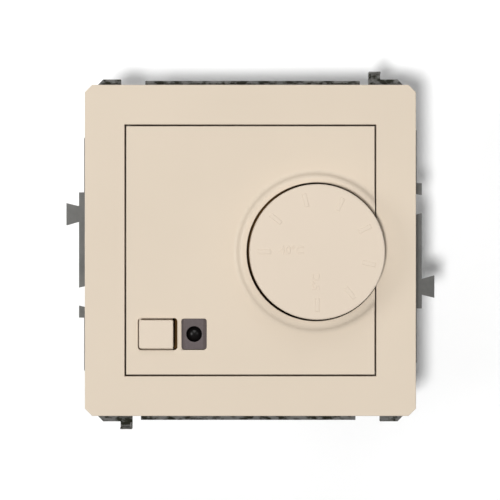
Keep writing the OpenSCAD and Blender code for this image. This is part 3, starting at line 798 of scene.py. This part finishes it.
# Words, size, place from the dial's axis and turn in degrees
figures = [("40°C", 2.35 * MM, -5.15 * MM, 0.3 * MM, 0), ("5°C", 2.1 * MM, -0.2 * MM, -6.0 * MM, 90)]
for words, size, x, z, turn in figures:
    name = "dial_figure_" + words[:-2]
    figure = raised_text(words, size, 2 * figure_h, name)
    upright = Matrix.Rotation(math.pi / 2, 4, "X") @ Matrix.Rotation(math.radians(turn), 4, "Z")
    spot = at_dial @ Matrix.Translation((x, -dial_f, z)) @ upright
    bmesh.ops.transform(figure, matrix=spot, verts=figure.verts)
    add_piece(figure, name, "dial", dial_beige)

# ---- Stage ----------------------------------------------------------------------------------
# A white backdrop behind the housing, seen only from the front, and a pale floor far below. The
# floor throws no light back on the object.

backdrop_gap = 12 * MM
backdrop_size = 3.0
backdrop_glow = 0.06
floor_drop = 0.5
floor_size = 6.0
floor_glow = 0.45


def backdrop_white(name, light, clear_behind):
    """Matt white paint; clear from behind where asked, so that the housing can be seen."""
    material, tree, shader = new_material(name)
    shader.inputs["Base Color"].default_value = (0.92, 0.92, 0.92, 1)
    shader.inputs["Roughness"].default_value = 0.9
    shader.inputs["Specular IOR Level"].default_value = 0.1
    shader.inputs["Emission Color"].default_value = (1, 1, 1, 1)
    shader.inputs["Emission Strength"].default_value = light
    if clear_behind:
        side = tree.nodes.new("ShaderNodeNewGeometry")
        clear = tree.nodes.new("ShaderNodeBsdfTransparent")
        mix = tree.nodes.new("ShaderNodeMixShader")
        tree.links.new(side.outputs["Backfacing"], mix.inputs["Fac"])
        tree.links.new(shader.outputs["BSDF"], mix.inputs[1])
        tree.links.new(clear.outputs["BSDF"], mix.inputs[2])
        tree.links.new(mix.outputs["Shader"], tree.nodes["Material Output"].inputs["Surface"])
    return material


def flat_stage(name, size, matrix, material):
    """A square plane of the stage."""
    bm = bmesh.new()
    bmesh.ops.create_grid(bm, x_segments=1, y_segments=1, size=size / 2, matrix=matrix)
    mesh = bpy.data.meshes.new(name)
    bm.to_mesh(mesh)
    bm.free()
    mesh.materials.append(material)
    plane = bpy.data.objects.new(name, mesh)
    bpy.context.scene.collection.objects.link(plane)
    return plane


backdrop_y = cup_high.y + backdrop_gap
facing_front = Matrix.Translation((0, backdrop_y, 0)) @ Matrix.Rotation(math.pi / 2, 4, "X")
below = Matrix.Translation((0, 0, -floor_drop))
backdrop_paint = backdrop_white("backdrop_paint", backdrop_glow, True)
floor_paint = backdrop_white("floor_paint", floor_glow, False)
flat_stage("backdrop", backdrop_size, facing_front, backdrop_paint)
ground = flat_stage("floor", floor_size, below, floor_paint)
ground.visible_diffuse = False
ground.visible_glossy = False

# ---- Lights and camera ----------------------------------------------------------------------
# The main light stands far in front, a little low and to the left, so the shadow falls up and to
# the right. Soft panels left, right and above fill the front, and two more light the rear. The
# world looks pale behind the object but hardly lights it.

face_centre = Vector((0, face_y, 0))
world_light = 0.05
world_look = 0.6


def panel(name, place, size, power, glossy=True):
    """A round soft light aimed at the front's centre."""
    data = bpy.data.lights.new(name, "AREA")
    data.shape = "DISK"
    data.size = size
    data.energy = power
    light = bpy.data.objects.new(name, data)
    light.location = place
    light.rotation_mode = "QUATERNION"
    light.rotation_quaternion = (face_centre - Vector(place)).to_track_quat("-Z", "Y")
    light.visible_glossy = glossy
    bpy.context.scene.collection.objects.link(light)


panel("main_light", (-0.108, -1.2, -0.115), 0.11, 12.3, False)
panel("left_light", (-0.75, -0.75, 0.0), 0.5, 2.0)
panel("right_light", (0.75, -0.75, 0.1), 0.5, 0.5)
panel("top_light", (0.0, -0.42, 0.36), 0.4, 0.6)
panel("rear_light", (0.5, 0.9, 0.7), 0.8, 9.0)
panel("rear_fill", (-0.7, 0.8, 0.1), 0.8, 4.0)

world = bpy.data.worlds.new("studio")
world.use_nodes = True
world_tree = world.node_tree
faint = world_tree.nodes["Background"]
faint.inputs["Color"].default_value = (1, 1, 1, 1)
faint.inputs["Strength"].default_value = world_light
seen = world_tree.nodes.new("ShaderNodeBackground")
seen.inputs["Color"].default_value = (1, 1, 1, 1)
seen.inputs["Strength"].default_value = world_look
world_mix = world_tree.nodes.new("ShaderNodeMixShader")
ray = world_tree.nodes.new("ShaderNodeLightPath")
world_tree.links.new(ray.outputs["Is Camera Ray"], world_mix.inputs["Fac"])
world_tree.links.new(faint.outputs["Background"], world_mix.inputs[1])
world_tree.links.new(seen.outputs["Background"], world_mix.inputs[2])
world_tree.links.new(world_mix.outputs["Shader"], world_tree.nodes["World Output"].inputs["Surface"])
bpy.context.scene.world = world
bpy.context.scene.view_settings.view_transform = "Standard"

camera_data = bpy.data.cameras.new("camera")
camera_data.sensor_width = 36
camera_data.lens = 160
camera_data.clip_start = 0.01
camera_data.clip_end = 20
camera = bpy.data.objects.new("camera", camera_data)
camera.location = (-0.08 * MM, -0.46, 0.08 * MM)
camera.rotation_euler = (math.radians(90), 0, 0)
bpy.context.scene.collection.objects.link(camera)
bpy.context.scene.camera = camera
